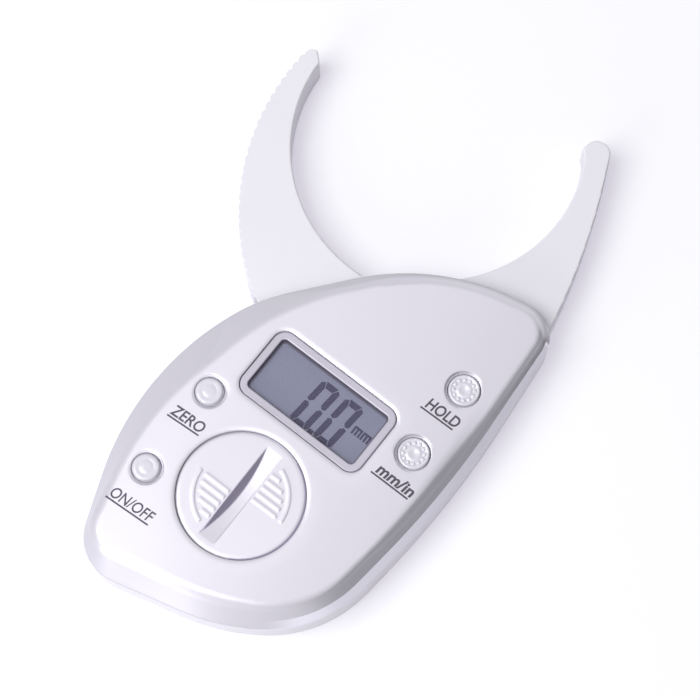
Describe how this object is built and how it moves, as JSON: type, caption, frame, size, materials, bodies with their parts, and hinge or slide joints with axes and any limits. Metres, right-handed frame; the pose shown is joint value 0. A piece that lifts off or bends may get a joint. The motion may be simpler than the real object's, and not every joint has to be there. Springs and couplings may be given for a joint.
{
  "type": "skinfold caliper",
  "caption": "Digital skinfold caliper: pivoted serrated jaw closing on a fixed jaw, angled display, function keys and coin-slot battery door in a crowned two-part case",
  "frame": {"origin": "the jaw pivot axis where it meets the flat back plane of the case", "axes": "+Z out of the display, +Y along the case from the battery end to the jaws, +X towards the fixed jaw's side"},
  "size_m": [0.0799, 0.134, 0.0166],
  "materials": {
    "cover_silver": "satin silver paint on moulded plastic",
    "door_silver": "satin silver paint on moulded plastic",
    "jaw_plastic": "fine matte moulding, pale lavender grey",
    "bezel_metal": "satin warm silver",
    "lens_clear": "clear window",
    "lcd_glass": "grey-blue reflective display",
    "button_pearl": "clear pearly cap",
    "brass_bush": "turned",
    "screw_steel": "zinc plated",
    "spring_steel": "bright",
    "board_laminate": "green solder mask",
    "chip_resin": "black resin",
    "strip_rubber": "conductive rubber",
    "frame_plastic": "natural moulding",
    "cell_steel": "nickel plated steel",
    "contact_nickel": "nickel plated spring strip"
  },
  "bodies": {
    "case": {"board_chip": "chip_resin", "board_parts": "chip_resin", "board_screws": "screw_steel", "case_screws": "screw_steel", "circuit_board": "board_laminate", "coin_cell": "cell_steel", "display_bezel": "bezel_metal", "display_lens": "lens_clear", "dome_hold": "spring_steel", "dome_on_off": "spring_steel", "dome_unit": "spring_steel", "dome_zero": "spring_steel", "lcd_frame": "frame_plastic", "lcd_panel": "lcd_glass", "lcd_strips": "strip_rubber", "lower_housing": "jaw_plastic", "negative_contact": "contact_nickel", "pivot_screw": "screw_steel", "pivot_washer": "spring_steel", "positive_contact": "contact_nickel", "return_spring": "spring_steel", "top_cover": "cover_silver"},
    "jaw": {"moving_jaw": "jaw_plastic", "pivot_bush": "brass_bush", "jaw_scale": "board_laminate"},
    "door": {"battery_door": "door_silver"},
    "key_zero": {"button_zero": "button_pearl"},
    "key_on_off": {"button_on_off": "button_pearl"},
    "key_hold": {"button_hold": "button_pearl"},
    "key_unit": {"button_unit": "button_pearl"}
  },
  "joints": [
    {"name": "jaw_swing", "type": "hinge", "parent": "case", "child": "jaw", "pos_m": [0, 0, 0.0045], "axis": [0, 0, -1], "range_deg": [0, 56], "stiffness_Nm_per_rad": 0.02, "springref_deg": -28.65, "deforming": ["return_spring"]},
    {"name": "door_turn", "type": "hinge", "parent": "case", "child": "door", "pos_m": [-0.00044, -0.04145, 0.0145], "axis": [0, 0, 1], "range_deg": [0, 60]},
    {"name": "press_zero", "type": "slide", "parent": "case", "child": "key_zero", "axis": [0, 0, -1], "range_m": [0, 0.0004], "stiffness_N_per_m": 1000, "springref_m": -0.0005, "deforming": ["dome_zero"]},
    {"name": "press_on_off", "type": "slide", "parent": "case", "child": "key_on_off", "axis": [0, 0, -1], "range_m": [0, 0.0004], "stiffness_N_per_m": 1000, "springref_m": -0.0005, "deforming": ["dome_on_off"]},
    {"name": "press_hold", "type": "slide", "parent": "case", "child": "key_hold", "axis": [0, 0, -1], "range_m": [0, 0.0004], "stiffness_N_per_m": 1000, "springref_m": -0.0005, "deforming": ["dome_hold"]},
    {"name": "press_unit", "type": "slide", "parent": "case", "child": "key_unit", "axis": [0, 0, -1], "range_m": [0, 0.0004], "stiffness_N_per_m": 1000, "springref_m": -0.0005, "deforming": ["dome_unit"]}
  ]
}
